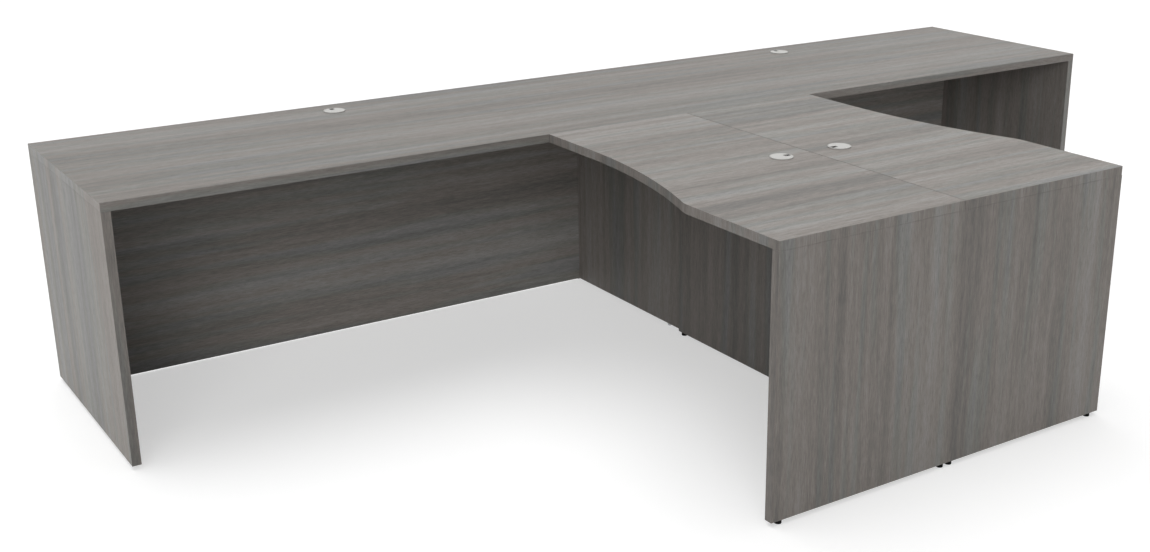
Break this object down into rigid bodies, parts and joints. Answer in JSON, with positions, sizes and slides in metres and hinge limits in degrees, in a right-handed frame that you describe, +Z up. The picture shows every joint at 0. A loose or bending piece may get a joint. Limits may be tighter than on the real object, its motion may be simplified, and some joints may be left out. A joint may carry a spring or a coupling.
{
  "type": "two-person desk",
  "caption": "T-shaped laminate desk for two people: a long worktop on panel uprights with two swept return worktops back to back, cable grommets and levelling glides.",
  "frame": {"origin": "on the floor, below the middle of the whole desk", "axes": "+X to the right along the long worktop, +Y to the rear, +Z up"},
  "size_m": [3.6576, 1.9812, 0.7524],
  "materials": {
    "top_laminate": "grey wood-grain laminate, satin, grain along the long worktop",
    "panel_laminate": "grey wood-grain laminate, satin, grain upright on ends and walls and level on back panels",
    "grommet_plastic": "silver-grey moulded plastic",
    "black_plastic": "black moulded plastic",
    "zinc_steel": "zinc-plated steel"
  },
  "bodies": {
    "desk": {"long_worktop": "top_laminate", "left_return_top": "top_laminate", "right_return_top": "top_laminate", "left_end_panel": "panel_laminate", "right_end_panel": "panel_laminate", "centre_support_panel": "panel_laminate", "left_back_panel": "panel_laminate", "right_back_panel": "panel_laminate", "left_return_wall": "panel_laminate", "right_return_wall": "panel_laminate", "left_return_end_panel": "panel_laminate", "right_return_end_panel": "panel_laminate", "left_rear_grommet_liner": "grommet_plastic", "right_rear_grommet_liner": "grommet_plastic", "left_return_grommet_liner": "grommet_plastic", "right_return_grommet_liner": "grommet_plastic", "left_joining_bracket_1": "zinc_steel", "left_joining_bracket_2": "zinc_steel", "right_joining_bracket_1": "zinc_steel", "right_joining_bracket_2": "zinc_steel", "left_end_front_insert": "zinc_steel", "left_end_rear_insert": "zinc_steel", "centre_front_insert": "zinc_steel", "centre_rear_insert": "zinc_steel", "right_end_front_insert": "zinc_steel", "right_end_rear_insert": "zinc_steel", "left_wall_insert": "zinc_steel", "left_seam_insert": "zinc_steel", "left_corner_insert": "zinc_steel", "right_wall_insert": "zinc_steel", "right_seam_insert": "zinc_steel", "right_corner_insert": "zinc_steel"},
    "left_end_front_foot": {"left_end_front_glide": "zinc_steel"},
    "left_end_rear_foot": {"left_end_rear_glide": "zinc_steel"},
    "centre_front_foot": {"centre_front_glide": "zinc_steel"},
    "centre_rear_foot": {"centre_rear_glide": "zinc_steel"},
    "right_end_front_foot": {"right_end_front_glide": "zinc_steel"},
    "right_end_rear_foot": {"right_end_rear_glide": "zinc_steel"},
    "left_wall_foot": {"left_wall_glide": "black_plastic"},
    "left_seam_foot": {"left_seam_glide": "black_plastic"},
    "left_corner_foot": {"left_corner_glide": "black_plastic"},
    "right_wall_foot": {"right_wall_glide": "black_plastic"},
    "right_seam_foot": {"right_seam_glide": "black_plastic"},
    "right_corner_foot": {"right_corner_glide": "black_plastic"},
    "left_rear_cap": {"left_rear_grommet_cap": "grommet_plastic"},
    "right_rear_cap": {"right_rear_grommet_cap": "grommet_plastic"},
    "left_return_cap": {"left_return_grommet_cap": "grommet_plastic"},
    "right_return_cap": {"right_return_grommet_cap": "grommet_plastic"}
  },
  "joints": [
    {"name": "left_end_front_glide_turn", "type": "hinge", "parent": "desk", "child": "left_end_front_foot", "pos_m": [-1.8161, 0.3156, 0], "axis": [0, 0, 1], "continuous": true},
    {"name": "left_end_rear_glide_turn", "type": "hinge", "parent": "desk", "child": "left_end_rear_foot", "pos_m": [-1.8161, 0.9036, 0], "axis": [0, 0, 1], "continuous": true},
    {"name": "centre_front_glide_turn", "type": "hinge", "parent": "desk", "child": "centre_front_foot", "pos_m": [0, 0.3156, 0], "axis": [0, 0, 1], "continuous": true},
    {"name": "centre_rear_glide_turn", "type": "hinge", "parent": "desk", "child": "centre_rear_foot", "pos_m": [0, 0.9036, 0], "axis": [0, 0, 1], "continuous": true},
    {"name": "right_end_front_glide_turn", "type": "hinge", "parent": "desk", "child": "right_end_front_foot", "pos_m": [1.8161, 0.3156, 0], "axis": [0, 0, 1], "continuous": true},
    {"name": "right_end_rear_glide_turn", "type": "hinge", "parent": "desk", "child": "right_end_rear_foot", "pos_m": [1.8161, 0.9036, 0], "axis": [0, 0, 1], "continuous": true},
    {"name": "left_wall_glide_turn", "type": "hinge", "parent": "desk", "child": "left_wall_foot", "pos_m": [-0.0128, 0.2124, 0], "axis": [0, 0, 1], "continuous": true},
    {"name": "left_seam_glide_turn", "type": "hinge", "parent": "desk", "child": "left_seam_foot", "pos_m": [-0.016, -0.9779, 0], "axis": [0, 0, 1], "continuous": true},
    {"name": "left_corner_glide_turn", "type": "hinge", "parent": "desk", "child": "left_corner_foot", "pos_m": [-0.5776, -0.9779, 0], "axis": [0, 0, 1], "continuous": true},
    {"name": "right_wall_glide_turn", "type": "hinge", "parent": "desk", "child": "right_wall_foot", "pos_m": [0.0128, 0.2124, 0], "axis": [0, 0, 1], "continuous": true},
    {"name": "right_seam_glide_turn", "type": "hinge", "parent": "desk", "child": "right_seam_foot", "pos_m": [0.016, -0.9779, 0], "axis": [0, 0, 1], "continuous": true},
    {"name": "right_corner_glide_turn", "type": "hinge", "parent": "desk", "child": "right_corner_foot", "pos_m": [0.5776, -0.9779, 0], "axis": [0, 0, 1], "continuous": true},
    {"name": "left_rear_cap_turn", "type": "hinge", "parent": "desk", "child": "left_rear_cap", "pos_m": [-0.9144, 0.889, 0.7493], "axis": [0, 0, 1], "continuous": true},
    {"name": "right_rear_cap_turn", "type": "hinge", "parent": "desk", "child": "right_rear_cap", "pos_m": [0.9144, 0.889, 0.7493], "axis": [0, 0, 1], "continuous": true},
    {"name": "left_return_cap_turn", "type": "hinge", "parent": "desk", "child": "left_return_cap", "pos_m": [-0.108, -0.381, 0.7493], "axis": [0, 0, 1], "continuous": true},
    {"name": "right_return_cap_turn", "type": "hinge", "parent": "desk", "child": "right_return_cap", "pos_m": [0.108, -0.381, 0.7493], "axis": [0, 0, 1], "continuous": true}
  ]
}
